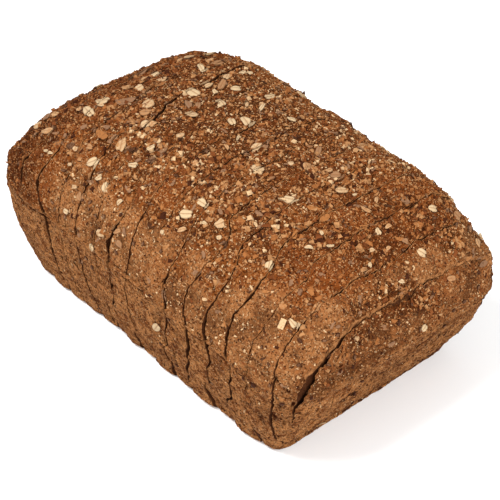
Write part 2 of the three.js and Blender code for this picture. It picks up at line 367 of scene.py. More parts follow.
def raise_by_texture(piece, kind, group, size, height, middle=0.5, **settings):
    """Raises the skin by a textured relief, as high as given in millimetres, and applies it."""
    texture = bpy.data.textures.new(kind.lower(), kind)
    for setting, value in settings.items():
        setattr(texture, setting, value)
    texture.noise_scale = size * MM
    bpy.context.view_layer.objects.active = piece
    modifier = piece.modifiers.new("relief", "DISPLACE")
    modifier.texture = texture
    modifier.texture_coords = "LOCAL"
    modifier.vertex_group = group
    modifier.strength = height * MM
    modifier.mid_level = middle
    bpy.ops.object.modifier_apply(modifier=modifier.name)


raise_by_texture(loaf, "CLOUDS", "crown", 11, 2.2, noise_depth=1)
raise_by_texture(loaf, "CLOUDS", "walls", 16, 1.2, noise_depth=1)
broad_normals = read_normals(loaf)
raise_by_texture(loaf, "CLOUDS", "grain", 3.8, 1.5, noise_depth=1)
raise_by_texture(loaf, "VORONOI", "grain", 1.7, 1.5, middle=0.55, distance_metric="DISTANCE_SQUARED")
raise_by_texture(loaf, "CLOUDS", "crown", 2.4, 1.0, noise_depth=2)
raise_by_texture(loaf, "CLOUDS", "crown", 1.2, 0.7, noise_depth=1)
raise_by_texture(loaf, "CLOUDS", "walls", 3.2, 0.9, noise_depth=1)
raise_by_texture(loaf, "VORONOI", "walls", 1.9, 0.6, middle=0.25, distance_metric="DISTANCE_SQUARED")


# The creases: where the crown meets the walls, where the dough folded on the right end and on the near
# corner. Each is a line of points read from the photograph, with its depth and its width in millimetres.
CREASES = (
    (((274, 380), (281, 387), (288, 394)), 1.3, 0.8),
    (((247, 357), (256, 363), (268, 373)), 0.6, 0.8),
    (((322, 392), (346, 374), (372, 356), (398, 345)), 0.5, 0.9),
    (((306, 430), (338, 402), (372, 382), (412, 352)), 0.35, 1.6),
    (((322, 384), (344, 371), (364, 362), (376, 352)), 0.35, 0.7),
    (((412, 350), (432, 338), (452, 322), (474, 304), (488, 290)), 0.6, 0.8),
    (((130, 172), (136, 168), (142, 164)), 0.8, 0.7),
    (((92, 120), (98, 117), (104, 114), (110, 112)), 0.7, 0.6),
    (((213, 121), (222, 115), (229, 109)), 0.6, 0.6),
    (((64, 148), (74, 140), (82, 137)), 0.6, 0.7),
    (((138, 176), (139, 166)), 0.5, 0.6),
)


# The pits: small holes that broke open in the walls, longer up and down than across.
PITS = 760
PIT_STRETCH = 1.9
PIT_DEPTHS = (0.3, 1.3)
PIT_REACHES = (0.45, 0.95)
PIT_DRAWS = np.random.default_rng(5)

# The fold under the rim is shallower at the right heel.
RIM_FOLD_DEPTH = 1.5
HEEL_FOLD_DEPTH = 0.6
RIM_FOLD_WIDTH = 0.85

baked = read_points(loaf) / MM
pressed = 0.75 * BLISTER_RIM * blister_rim * crown_mask * smooth_step(-0.3, 0.5, patches)
for line, depth, width in CREASES:
    pressed = np.maximum(pressed, depth * bell(distance_to_line(baked, line_seen(line)) / width))
rim_waves = rough_waves(skin, 6, 30)
rim_distance = skin[:, 2] - rim_z + 2.2 + 1.6 * rough_waves(skin, 20, 60) + 0.7 * rough_waves(skin, 4, 10)
rim_fold = RIM_FOLD_DEPTH - (RIM_FOLD_DEPTH - HEEL_FOLD_DEPTH) * smooth_step(0.9, 0.96, along)
rim_fold = rim_fold * bell(rim_distance / RIM_FOLD_WIDTH) * smooth_step(-0.4, 0.7, rim_waves)
pressed = np.maximum(pressed, rim_fold)
on_walls = np.flatnonzero((skin[:, 2] > 3) & (skin[:, 2] < rim_z - 2))
for spot in PIT_DRAWS.choice(on_walls, PITS):
    depth = PIT_DRAWS.uniform(*PIT_DEPTHS)
    away = baked[on_walls] - baked[spot]
    away[:, 2] /= PIT_STRETCH
    away = np.linalg.norm(away, axis=1) / PIT_DRAWS.uniform(*PIT_REACHES)
    pressed[on_walls] = np.maximum(pressed[on_walls], depth * bell(away))
raised = BLISTER_RISE * blister_share * crown_mask - FURROW_DEPTH * furrow_share * crown_mask - pressed
baked += broad_normals * raised[:, None]
baked[:, 2] = np.maximum(baked[:, 2], 0)
baked[on_foot, 2] = 0

# The relief stands on the frame's form, so the whole is drawn in by as much as it rises above it.
HIGH = 95
HIGH_SHARE = 0.72
DRAWN_IN = (0.993, 0.9905)
baked[:, 2] = np.where(baked[:, 2] > HIGH, HIGH + (baked[:, 2] - HIGH) * HIGH_SHARE, baked[:, 2])
baked[:, :2] *= DRAWN_IN
write_points(loaf, baked * MM)
# How far the relief dips below the frame's form, with the walls counted 0.3 mm higher. The crust paints shade
# into the hollows by it, and into the creases, pits and rim fold by how deep they were pressed.
relief = np.sum((baked - skin) * smooth_normals, axis=1) + 0.3 * (1 - crown_mask)
write_attribute(loaf, "grain_cover", grain_cover)
write_attribute(loaf, "crown_share", crown_mask)
write_attribute(loaf, "relief", relief)
write_attribute(loaf, "pressed", pressed)
write_attribute(loaf, "browned", browned)


class Link:
    """A shader socket that Python's own arithmetic works on: each operator adds its Math node."""

    def __init__(self, finish, socket):
        self.finish = finish
        self.socket = socket

    def math(self, operation, *values):
        return self.finish.node("ShaderNodeMath", {"operation": operation}, dict(enumerate(values)))

    def __add__(self, other):
        return self.math("ADD", self, other)

    def __sub__(self, other):
        return self.math("SUBTRACT", self, other)

    def __rsub__(self, other):
        return self.math("SUBTRACT", other, self)

    def __mul__(self, other):
        return self.math("MULTIPLY", self, other)

    __radd__ = __add__
    __rmul__ = __mul__

    def between(self, low, high):
        """0 at low, 1 at high, with soft ends."""
        settings = {"interpolation_type": "SMOOTHSTEP"}
        inputs = {"Value": self, "From Min": low, "From Max": high}
        return self.finish.node("ShaderNodeMapRange", settings, inputs)


class Finish:
    """A material, built node by node."""

    def __init__(self, name, roughness, specular):
        self.material = bpy.data.materials.new(name)
        self.material.use_nodes = True
        self.tree = self.material.node_tree
        self.shader = self.tree.nodes["Principled BSDF"]
        self.shader.inputs["Roughness"].default_value = roughness
        self.shader.inputs["Specular IOR Level"].default_value = specular
        self.place = self.node("ShaderNodeTexCoord", out="Object")

    def node(self, kind, settings=None, inputs=None, out=0):
        """Adds a node: its settings first, then the values or links of its sockets."""
        made = self.tree.nodes.new(kind)
        for name, value in (settings or {}).items():
            setattr(made, name, value)
        for name, value in (inputs or {}).items():
            if isinstance(value, Link):
                self.tree.links.new(value.socket, made.inputs[name])
            else:
                made.inputs[name].default_value = value
        return Link(self, made.outputs[out])

    def attribute(self, name, out="Fac"):
        return self.node("ShaderNodeAttribute", {"attribute_name": name}, out=out)

    def parts(self, vector):
        """The x, y and z of a vector, as numbers."""
        split = self.node("ShaderNodeSeparateXYZ", inputs={0: vector}).socket.node
        return [Link(self, output) for output in split.outputs]

    def noise(self, size, detail=3, roughness=0.55, stretch=(1, 1, 1)):
        """Cloudy noise whose features are about as large as given, in millimetres."""
        place = self.node("ShaderNodeVectorMath", {"operation": "MULTIPLY"}, {0: self.place, 1: stretch})
        inputs = {"Vector": place, "Scale": 1 / (size * MM), "Detail": detail, "Roughness": roughness}
        return self.node("ShaderNodeTexNoise", inputs=inputs)

    def cells(self, size, out="Distance"):
        """Uneven cells about as large as given: the distance to each middle, or its own random colour."""
        inputs = {"Vector": self.place, "Scale": 1.4 / (size * MM), "Detail": 1.0}
        stray = self.node("ShaderNodeTexNoise", inputs=inputs, out="Color")
        inputs = {0: stray, "Scale": 0.9 * size * MM}
        stray = self.node("ShaderNodeVectorMath", {"operation": "SCALE"}, inputs)
        place = self.node("ShaderNodeVectorMath", {"operation": "ADD"}, {0: self.place, 1: stray})
        return self.node("ShaderNodeTexVoronoi", inputs={"Vector": place, "Scale": 1 / (size * MM)}, out=out)

    def single(self, colour):
        """The red of a colour, as a number."""
        return self.node("ShaderNodeSeparateColor", inputs={0: colour})

    def mix(self, share, first, second):
        """A colour between two."""
        return self.node("ShaderNodeMix", {"data_type": "RGBA"}, {0: share, 6: first, 7: second}, out=2)

    def bump(self, height, depth, under=None):
        """Normals for a fine relief as deep as given, in millimetres."""
        inputs = {"Height": height, "Distance": depth * MM, "Strength": 1.0}
        if under is not None:
            inputs["Normal"] = under
        return self.node("ShaderNodeBump", inputs=inputs)

    def link(self, **sockets):
        for name, value in sockets.items():
            self.tree.links.new(value.socket, self.shader.inputs[name.replace("_", " ")])


def tint(red, green, blue):
    """A colour given as a screen shows it, from 0 to 255."""
    return tuple((part / 255 / 12.92 if part < 11 else ((part / 255 + 0.055) / 1.055) ** 2.4)
                 for part in (red, green, blue)) + (1,)


# The crust: reddish brown over the crown, where it baked hardest, and a lighter tan on the walls, mottled
# with bran and with fine pale grit.
CROWN_BROWN = tint(120, 66, 28)
BAKED_BROWN = tint(114, 59, 23)
# DEEP_BROWN is the darkest brown of the crust, and also the colour of the painted shade in its hollows and
# creases and deep in the cuts.
DEEP_BROWN = tint(44, 17, 5)
SHOULDER_TAN = tint(146, 95, 55)
WALL_TAN = tint(159, 107, 63)
WALL_DARK = tint(94, 50, 22)
GRIT_CREAM = tint(172, 132, 92)
BRAN_GREY = tint(84, 55, 37)
BRAN_ORANGE = tint(128, 70, 29)

crust = Finish("crust", roughness=0.85, specular=0.02)
crown_share = crust.attribute("crown_share")
cover = crust.attribute("grain_cover")
relief_for_shade = crust.attribute("relief")
crease = crust.attribute("pressed")
middling = crust.noise(5, 4, 0.62)
streaks = crust.noise(1.7, 4, 0.7, stretch=(0.8, 0.8, 1))
folds = crust.noise(5, 3, 0.5, stretch=(0.16, 0.16, 1))
fine = crust.noise(0.9, 4, 0.7)
crown_tone = crust.mix(cover.between(0.15, 0.6), SHOULDER_TAN, CROWN_BROWN)
browned_share = crust.attribute("browned").between(0.1, 0.7) * middling.between(0.2, 0.5)
crown_tone = crust.mix(browned_share, crown_tone, BAKED_BROWN)
crown_tone = crust.mix(crust.attribute("browned").between(0.9, 1.5) * 0.5, crown_tone, DEEP_BROWN)
wall_tone = crust.mix((middling * 0.5 + streaks * 0.5).between(0.4, 0.56), WALL_DARK, WALL_TAN)
wall_tone = crust.mix(folds.between(0.45, 0.36) * 0.5, wall_tone, WALL_DARK)
tone = crust.mix(crown_share, wall_tone, crown_tone)
tone = crust.mix(fine.between(0.54, 0.72) * 0.45, tone, BRAN_ORANGE)
tone = crust.mix(fine.between(0.5 - 0.02 * crown_share, 0.38), tone, DEEP_BROWN)
bran = crust.single(crust.cells(1.5, out="Color"))
tone = crust.mix(bran.between(0.78, 0.82) * crust.cells(1.5).between(0.5, 0.3) * 0.6, tone, BRAN_GREY)
grit = crust.single(crust.cells(0.8, out="Color"))
grit_share = grit.between(0.64, 0.7) * crust.cells(0.8).between(0.5, 0.3)
tone = crust.mix(grit_share * (0.6 + 0.15 * crown_share), tone, GRIT_CREAM)
# Painted shade: the relief's hollows and the pressed creases, pits and rim fold darken towards deep brown.
tone = crust.mix(relief_for_shade.between(-0.1, -1.3) * 0.6 + crease.between(0.3, 1.0) * 0.6, tone, DEEP_BROWN)
crust.link(Base_Color=tone, Normal=crust.bump(fine, 1.3, crust.bump(streaks + middling, 0.6)))

# The crumb that the cuts laid bare: paler than the crust and close, with small holes darkened with painted
# shade. Deep in a narrow cut it is painted as dark as the shade in the gap itself.
CRUMB_TAN = tint(148, 100, 60)
CRUMB_DARK = tint(112, 69, 37)

crumb = Finish("crumb", roughness=0.9, specular=0.04)
crumb_holes = crumb.cells(1.3).between(0.4, 0.15)
crumb_tone = crumb.mix(crumb.noise(2.0, 4, 0.6).between(0.3, 0.6), CRUMB_DARK, CRUMB_TAN)
# Painted shade: the crumb's small holes are darkened.
crumb_tone = crumb.mix(crumb_holes * 0.4, crumb_tone, CRUMB_DARK)
# Painted shade: the cut faces darken towards deep brown below the depth that light reaches into the cut.
crumb_tone = crumb.mix(crumb.attribute("depth").between(0, 1) * 0.92, crumb_tone, DEEP_BROWN)
crumb.link(Base_Color=crumb_tone, Normal=crumb.bump(crumb.noise(0.9, 3, 0.7) - crumb_holes, 0.7))
loaf.data.materials.append(crust.material)
loaf.data.materials.append(crumb.material)


# ---- The slices ----
# Fifteen cuts across the loaf part it into fourteen slices and two heels, which still stand together. Each
# is the loaf held between two cut faces. A few cuts gape, the edges have crumbled, and each slice has
# slipped or sunk.
SLICE_PITCH = 12.1
CUT_COUNT = 15
FIRST_CUT_X = 99.4
KERF = 0.42
CUT_LEAN = 0.05
CUT_LEAN_POWER = 4
SIDE_SHIFT = 0.55
SINKING = 0.005
RIGHT_HEEL_SINKING = 0.025
FOOT_SHIFT = 0.5
FOOT_CRUMBLING = 0.9
FOOT_CRUMBLING_REACH = 2.2
CUT_CELLS_ACROSS = 120
CUT_CELLS_UP = 92
CUT_HALF_WIDTH = 72
CUT_TOP = 112
CUT_FOOT = -2
PAST_THE_END = 130.0
CUT_WAVES = ((31, 0.16, 0.3), (17, 0.14, 1.1), (9, 0.12, 2.0), (5.3, 0.12, 2.7), (3.3, 0.1, 0.8),
             (2.4, 0.08, 1.7))  # length, height, heading

# The cuts that show wander a little and stand open here and there. Each row holds a cut and the points of
# the photograph that it runs through, each with how wide it stands open there, in millimetres.
COURSES = (
    (0, ((288, 424, 0.3), (291, 414, 0.6), (297, 399, 1.1), (305, 382, 1.5), (312, 372, 1.5), (323, 358, 1.2),
         (334, 342, 0.9), (349, 327, 0.6), (365, 313, 0.3), (382, 299, 0.2), (407, 286, 0.2), (425, 277, 0.2),
         (450, 264, 0.2), (476, 254, 0.2))),
    (1, ((270, 428, 0.8), (270, 410, 0.9), (271, 393, 0.8), (274, 375, 0.6), (281, 355, 0.4), (293, 335, 0.4),
         (306, 319, 0.5), (320, 305, 0.4), (337, 293, 0.5), (349, 285, 0.4), (373, 271, 0.5), (393, 259, 0.4))),
    (2, ((246, 372, 0.3), (248, 357, 0.5), (251, 344, 0.5), (264, 324, 0.4), (276, 308, 0.4), (288, 295, 0.3),
         (300, 286, 0.4))),
    (3, ((226, 408, 1.7), (228, 390, 1.3), (229, 374, 1.3), (226, 362, 1.8), (224, 350, 1.8), (225, 337, 1.6),
         (226, 327, 1.1), (230, 320, 0.6), (243, 306, 0.4), (254, 292, 0.9), (259, 285, 1.4), (264, 279, 0.3))),
    (4, ((205, 392, 0.4), (205, 372, 0.4), (209, 360, 0.9), (205, 350, 1.4), (204, 340, 1.3), (203, 327, 1.2),
         (199, 321, 0.6), (213, 300, 0.4), (222, 289, 0.5), (231, 278, 0.4))),
    (5, ((187, 381, 2.0), (187, 372, 1.7), (187, 359, 1.7), (188, 344, 1.8), (186, 331, 1.6), (185, 314, 0.9),
         (181, 304, 0.7), (184, 292, 0.6), (195, 280, 0.6), (204, 268, 0.6), (223, 250, 0.4))),
    (6, ((165, 368, 1.5), (165, 353, 1.2), (165, 335, 1.2), (166, 320, 1.0), (164, 309, 1.3), (165, 299, 1.6),
         (161, 285, 1.1), (170, 268, 0.7), (180, 254, 0.6))),
    (7, ((148, 350, 0.1), (146, 330, 0.1), (143, 310, 0.15))),
    (8, ((130, 335, 0.1), (128, 315, 0.1), (124, 295, 0.15))),
    (9, ((113, 310, 1.3), (110, 292, 1.8), (108, 280, 2.4), (108, 262, 2.8), (105, 250, 3.8), (107, 243, 3.2),
         (113, 231, 2.0), (120, 221, 1.0), (128, 212, 0.5), (214, 121, 0.7), (229, 111, 0.9), (239, 103, 0.7))),
    (11, ((150, 121, 0.7), (158, 111, 0.9), (170, 98, 1.0), (180, 91, 0.9), (187, 87, 0.7), (198, 83, 0.6),
          (206, 80, 0.8), (215, 75, 0.8), (226, 69, 0.7), (235, 64, 0.6))),
    (12, ((93, 128, 0.6), (104, 121, 0.8), (112, 117, 0.5), (156, 82, 0.7), (165, 78, 0.9), (173, 74, 0.6))),
    (13, ((57, 265, 1.0), (50, 240, 1.5), (44, 216, 2.0), (41, 204, 2.2), (37, 193, 2.8), (36, 182, 3.4),
          (40, 171, 2.4), (46, 164, 1.4), (54, 158, 0.8))),
    (14, ((22, 195, 0.8), (19, 178, 1.6), (21, 164, 2.0), (26, 156, 1.6), (33, 150, 1.1), (40, 146, 0.7))),
)
COURSE_REACH = 5.5
COURSE_PULL = 12
COURSE_LIMIT = 8
COURSE_TO_FOOT = 40  # a course whose lowest point lies under this height goes on straight down to the foot


def straight_middle(cut, y, z):
    """Where a cut's middle would run, with the small waves that the blade left."""
    straight = FIRST_CUT_X - SLICE_PITCH * cut
    leaning = CUT_LEAN * (straight / FIRST_CUT_X) ** CUT_LEAN_POWER if straight > 0 else 0
    x = straight - leaning * (CROWN_HEIGHT - z)
    for length, height, heading in CUT_WAVES:
        phase = (y * math.cos(heading + cut) + z * math.sin(heading + cut)) * 2 * math.pi / length
        x = x + height * np.sin(phase + cut * GOLDEN_ANGLE)
    return x + LOAF_SHIFT


courses = {}
for cut, points in COURSES:
    places = np.array([seen_at(picture_x, picture_y)[0] for picture_x, picture_y, _ in points])
    strays = places[:, 0] - straight_middle(cut, places[:, 1], places[:, 2])
    courses[cut] = (places[:, 1], places[:, 2], np.clip(strays, -COURSE_LIMIT, COURSE_LIMIT),
                    np.array([width for _, _, width in points]))


def along_course(cut, y, z, column, otherwise):
    """What a course says near its points, and otherwise what holds away from them."""
    total = otherwise
    weight = 1
    if cut in courses:
        course_y, course_z = courses[cut][:2]
        if course_z.min() < COURSE_TO_FOOT:
            z = np.maximum(z, course_z.min())
        for point_y, point_z, value in zip(course_y, course_z, courses[cut][column]):
            near = COURSE_PULL * bell((y - point_y) / COURSE_REACH) * bell((z - point_z) / COURSE_REACH)
            total = total + near * value
            weight = weight + near
    return total / weight


def cut_middle(cut, y, z):
    return straight_middle(cut, y, z) + along_course(cut, y, z, 2, 0)


def half_gap(cut, y, z):
    """Half of what a cut stands open at a place."""
    uneven = 1 + 0.35 * np.sin(y / 7.3 + cut) * np.sin(z / 9.1 + 2 * cut)
    uneven = uneven + 0.3 * np.sin(y / 2.1 + z / 1.7 + cut)
    return along_course(cut, y, z, 3, KERF) * uneven / 2


def slice_ends(index, y, z):
    """Where a slice ends on the left and on the right. The heels go on past the loaf's ends."""
    left = cut_middle(index, y, z) + half_gap(index, y, z) if index < CUT_COUNT else -PAST_THE_END
    right = cut_middle(index - 1, y, z) - half_gap(index - 1, y, z) if index > 0 else PAST_THE_END
    return left, right


def slice_name(index):
    if index == 0:
        return "heel_right"
    return "heel_left" if index == CUT_COUNT else f"slice_{index:02d}"


def settle(points, index):
    """Moves points of the uncut loaf to where their slice stands now, its foot crumbled along the cuts."""
    x, y, z = points.T
    points = points.copy()
    edge = np.zeros(len(points))
    if index > 0:
        edge = bell((x - cut_middle(index - 1, y, z)) / FOOT_CRUMBLING_REACH)
    if index < CUT_COUNT:
        edge = np.maximum(edge, bell((x - cut_middle(index, y, z)) / FOOT_CRUMBLING_REACH))
    crumbled = FOOT_CRUMBLING * edge * smooth_step(16, 3, z)
    points[:, 1] -= crumbled * np.sign(y) * smooth_step(40, 50, np.abs(y))
    points[:, 1] += SIDE_SHIFT * math.sin(GOLDEN_ANGLE * index * index)
    points[:, 1] += FOOT_SHIFT * math.sin(2 + 3 * index) * smooth_step(30, 5, z)
    sinking = RIGHT_HEEL_SINKING if index == 0 else SINKING * math.sin(GOLDEN_ANGLE * index) ** 2
    points[:, 2] *= 1 - sinking
    return points


def shade_smooth(piece):
    piece.data.polygons.foreach_set("use_smooth", np.ones(len(piece.data.polygons), bool))


def depth_within(points):
    """How far inside the uncut loaf's skin each point lies."""
    x, y, z = points.T
    lean = (z - FOOT_EDGE_RADIUS) / (rim_height(share_along(x - LOAF_SHIFT)) - FOOT_EDGE_RADIUS)
    up = np.clip(lean, 0, 1)
    half_width = FOOT_HALF_WIDTH + SIDE_LEAN * up + WALL_BULGE * np.sin(np.pi * up)
    return np.minimum(crown_height_at(x - LOAF_SHIFT, y) - z, np.where(lean < 1, half_width - np.abs(y), 99))


# How deep light reaches into a cut; below it the crumb is painted with shade. The right heel has sunk, so a
# strip of its neighbour's crumb shows above it.
LIT_DEPTH = 0.1
LIT_DEPTH_ABOVE_HEEL = 3.4
DARKENING_DEPTH = 0.8

room = add_box_of_cells("room", CUT_CELLS_ACROSS, CUT_CELLS_UP, 1)
room_unit = read_points(room)
room.data.materials.append(crust.material)
room.data.materials.append(crumb.material)
room.data.polygons.foreach_set("material_index", np.ones(len(room.data.polygons), np.int32))
room_y = CUT_HALF_WIDTH * room_unit[:, 0]
room_z = CUT_TOP * (room_unit[:, 1] + 1) / 2 + CUT_FOOT
for index in range(CUT_COUNT + 1):
    left, right = slice_ends(index, room_y, room_z)
    write_points(room, np.stack([np.where(room_unit[:, 2] > 0.5, right, left), room_y, room_z], axis=-1) * MM)
    part = loaf.copy()
    part.data = loaf.data.copy()
    part.name = f"bread_{slice_name(index)}"
    bpy.context.collection.objects.link(part)
    bpy.context.view_layer.objects.active = part
    modifier = part.modifiers.new("cut", "BOOLEAN")
    modifier.operation = "INTERSECT"
    modifier.solver = "MANIFOLD"
    modifier.object = room
    bpy.ops.object.modifier_apply(modifier=modifier.name)
    points = read_points(part) / MM
    lit = LIT_DEPTH_ABOVE_HEEL if index == 1 else LIT_DEPTH
    # The share of painted shade on each point of the cut faces, by how far it lies inside the skin.
    write_attribute(part, "depth", np.clip((depth_within(points) - lit) / DARKENING_DEPTH, 0, 1))
    write_points(part, settle(points, index) * MM)
    shade_smooth(part)
    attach(part, "root")
    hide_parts(slice_name(index))
bpy.data.objects.remove(room)
bpy.data.objects.remove(loaf)


# ---- The oats ----
# Rolled oats: steamed grains pressed into oval flakes, each with the grain's crease down its middle. They
# were strewn on the dough and baked half sunk into it. Those that show best lie as they do in the
# photograph: the place there of each one's middle, its length and width there, its turn in degrees, and how
# pale it is from 0 to 1.
OATS_SEEN = (
    (90.3, 112.6, 12.5, 9.5, -48, 0.9), (104.1, 101.8, 15, 6.5, 2, 0.85), (139.9, 88, 9, 8, 20, 0.8),
    (127.4, 87.7, 11, 6.5, 5, 0.55), (148, 104.3, 12, 9, 48, 0.7), (145.3, 124, 10.5, 6, 30, 0.8),
    (121.5, 145.7, 16, 11.5, 78, 0.65), (93.3, 162, 12.5, 8, 22, 0.9), (99.2, 177.7, 9, 5.5, 25, 1),
    (132.9, 165.2, 12, 6, -10, 1), (39, 125, 10, 5.5, 35, 0.7), (48.8, 130.5, 11, 6, 10, 0.6),
    (47.7, 116.4, 8, 6.5, 60, 0.35), (56.4, 113.7, 6, 5, 0, 0.6), (90, 146.8, 8, 6, -15, 0.5),
    (76.5, 149, 5.5, 4.5, 60, 0.7), (47.2, 150, 5, 3, 0, 0.95), (52, 152.4, 5.5, 3, 0, 0.95),
    (70.5, 164.3, 5.5, 3.5, 0, 0.75), (74.8, 186.7, 6, 4.5, 0, 0.7), (66.7, 210.8, 6, 4, -35, 1),
    (119.3, 202, 9, 4, 42, 0.85), (150.2, 147.9, 11, 4, 18, 1), (156.2, 74.1, 9.5, 4.5, 20, 0.95),
    (145.9, 113, 12, 6.5, -5, 0.5), (152, 124, 9, 5.5, 40, 0.6), (102, 105.6, 7, 3, 0, 0.75),
    (80.8, 109.3, 4.5, 4, 90, 0.6), (192.6, 92.8, 12.5, 7.5, -28, 0.9), (192, 116, 10.5, 6, 20, 0.75),
    (179.6, 135.4, 10.5, 5, 8, 0.7), (201.5, 68.7, 10.5, 4, -50, 0.95), (189.6, 57.1, 12, 3, 18, 0.7),
    (217.8, 63.9, 11.5, 6.5, 20, 0.45), (210, 60.6, 9, 3.5, 15, 0.6), (209.6, 54, 9, 3.5, 22, 0.75),
    (187.4, 105, 8.5, 6.5, -60, 0.35), (197.2, 105, 7, 6, 80, 0.4), (207.5, 85.5, 9.5, 4, 30, 0.7),
    (221, 84.5, 12, 6, 62, 0.45), (235, 88.8, 11.5, 5.5, 0, 1), (226, 76.9, 7, 6, 60, 0.7),
    (241.6, 73, 5.5, 4.3, 30, 1), (249.2, 73, 5.5, 4.3, 0, 1), (269.3, 97.5, 12, 5, 14, 0.85),
    (262.3, 107.8, 9, 4, 55, 1), (231.9, 121.3, 10.5, 6.5, -62, 0.95), (246, 121.3, 10.5, 7, -45, 0.85),
    (291.5, 120.5, 10, 5, -22, 0.95), (214, 92, 5.5, 4, -50, 0.85), (219.4, 106, 5, 3.3, -20, 0.9),
    (247, 105, 5.5, 3.5, 80, 0.7), (226.5, 148.5, 7, 3.3, -55, 0.6), (237.3, 139.2, 8, 3, 65, 1),
    (262.8, 169, 7, 3.3, 12, 0.75), (308.9, 166.9, 12, 8.5, -50, 0.55), (319.2, 150.6, 10, 6, 70, 0.4),
    (289.4, 199.4, 12.5, 8.5, -8, 0.85), (203.1, 201.6, 12.5, 8.5, -32, 0.95), (201, 181.5, 9, 2.3, -20, 0.6),
    (292, 162.5, 7, 4.5, 10, 0.75), (195, 163.6, 8, 5, 30, 0.55), (187.8, 213.2, 13.5, 9.5, 0, 0.95),
    (222, 223.2, 12, 10.5, 20, 0.7), (100.1, 233, 9, 7.5, -10, 0.7), (92, 247, 9, 4.5, -75, 1),
    (183.6, 228.6, 10.5, 4.5, 18, 0.65), (163.6, 230.8, 5.5, 3.3, 80, 1), (205.9, 222, 7, 4, -25, 0.9),
    (220.5, 236.2, 6, 5, 10, 0.85), (120.7, 243.3, 10, 6, -50, 0.45), (118.6, 230.8, 8, 5, 20, 0.5),
    (340.8, 191.4, 14, 6.5, 8, 0.7), (353.6, 195.9, 5.5, 2.5, 22, 1), (375.3, 200.4, 8, 4.5, 75, 0.6),
    (365, 210.6, 14, 4, -30, 0.55), (377.8, 231.6, 9, 5.5, -68, 0.85), (388, 225.9, 8, 4.5, 28, 0.6),
    (432.7, 208, 9.5, 6.5, -5, 0.95), (456.9, 215, 9, 7, -48, 0.45), (476, 243, 10, 7, -62, 0.6),
    (420.5, 252.7, 11, 7.5, -35, 0.85), (400.1, 281.4, 6.5, 5, -10, 0.85), (371.4, 249.5, 6, 5, 20, 0.75),
    (387.4, 247.6, 6, 4.5, 40, 0.6), (369.5, 264.1, 6.5, 4, 85, 0.95), (405.2, 240.5, 8, 5, -30, 0.4),
    (308.3, 247.6, 11, 3.5, -8, 1), (329.3, 246.3, 9, 2.7, 2, 0.9), (321, 232.9, 5.5, 3.5, -60, 1),
    (329.3, 171, 8, 4.5, 30, 0.6), (450.5, 275, 8, 6, 10, 0.5), (268.8, 266, 10.5, 9.5, 80, 0.9),
    (293.4, 323.2, 12.5, 7.5, -50, 0.95), (158, 326, 11, 8, 50, 0.85), (424, 325, 9, 5, 50, 0.9),
)
OAT_THICKNESS = 1.0
OAT_SEGMENTS = 16
OAT_RINGS = 8
OATS_STREWN = 95
OAT_SPACING = 6
LONGEST_STRETCH = 1.7  # how much longer than it looks a flake that lies aslant may be
BUMP_SHARE = 0.85  # of the highest bump under a flake, how far it is raised to rest on it
HIGHEST_BUMP = 1.2

# How each kind of oat is formed: the depth of its crease, how far its ends and its sides curl up, how torn
# its outline is and how ragged its surface.
OAT_FORMS = ((0.3, 0.1, 0.1, 0.04, 0.03), (0.2, -0.3, 0.1, 0.1, 0.04), (0.32, 0.3, -0.2, 0.07, 0.05),
             (0.15, -0.2, 0.4, 0.14, 0.05), (0.25, 0.4, 0.1, 0.18, 0.06), (0.3, 0.0, -0.3, 0.12, 0.04),
             (0.1, 0.2, 0.2, 0.2, 0.07))


def triangles_of(piece):
    """The points and the triangles of a template, which is then removed."""
    bpy.ops.object.mode_set(mode="EDIT")
    bpy.ops.mesh.select_all(action="SELECT")
    bpy.ops.mesh.quads_convert_to_tris()
    bpy.ops.object.mode_set(mode="OBJECT")
    corners = np.array([polygon.vertices[:] for polygon in piece.data.polygons])
    points = read_points(piece)
    bpy.data.objects.remove(piece)
    return points, corners


def make_ragged(amount, seed):
    bpy.ops.object.mode_set(mode="EDIT")
    bpy.ops.mesh.select_all(action="SELECT")
    bpy.ops.transform.vertex_random(offset=amount, seed=seed)
    bpy.ops.object.mode_set(mode="OBJECT")


def form_oat(crease, end_curl, side_curl, torn, ragged, seed):
    """An oat one unit long, wide and thick, with its crease along x."""
    bpy.ops.object.select_all(action="DESELECT")
    bpy.ops.mesh.primitive_uv_sphere_add(segments=OAT_SEGMENTS, ring_count=OAT_RINGS, radius=0.5)
    oat = bpy.context.object
    points = read_points(oat)
    x, y, z = points.T
    blunt = np.sign(z) * np.sqrt(np.abs(z) / 2)
    groove = crease * bell(y / 0.09) * np.clip(1 - (2 * x) ** 2, 0, 1) * (z > 0)
    notch = 0.1 * bell(y / 0.1) * smooth_step(0.3, 0.5, x)
    lift = end_curl * (2 * x) ** 2 + side_curl * (2 * y) ** 2
    turn = np.arctan2(y, x)
    edge = 1 - torn * (0.6 + 0.6 * np.sin(3 * turn + 2 * seed) + 0.4 * np.sin(5 * turn + seed))
    write_points(oat, np.stack([x * edge - notch, y * edge, blunt - groove + lift], axis=-1))
    make_ragged(ragged, seed)
    return triangles_of(oat)


def frames_for(outs, headings):
    """Turns that stand each copy's z along its place's outward direction and its x along the heading."""
    outs = outs / np.linalg.norm(outs, axis=1, keepdims=True)
    across = np.cross(outs, headings)
    across /= np.linalg.norm(across, axis=1, keepdims=True)
    return np.stack([np.cross(across, outs), across, outs], axis=-1)


def random_headings(draws, count):
    return draws.normal(size=(count, 3))


def tilted(draws, outs, amount):
    return outs + amount * draws.normal(size=outs.shape)


def slice_at(points):
    """Which slice each point of the uncut loaf belongs to."""
    index = np.zeros(len(points), int)
    for cut in range(CUT_COUNT):
        index += points[:, 0] < cut_middle(cut, points[:, 1], points[:, 2])
    return index


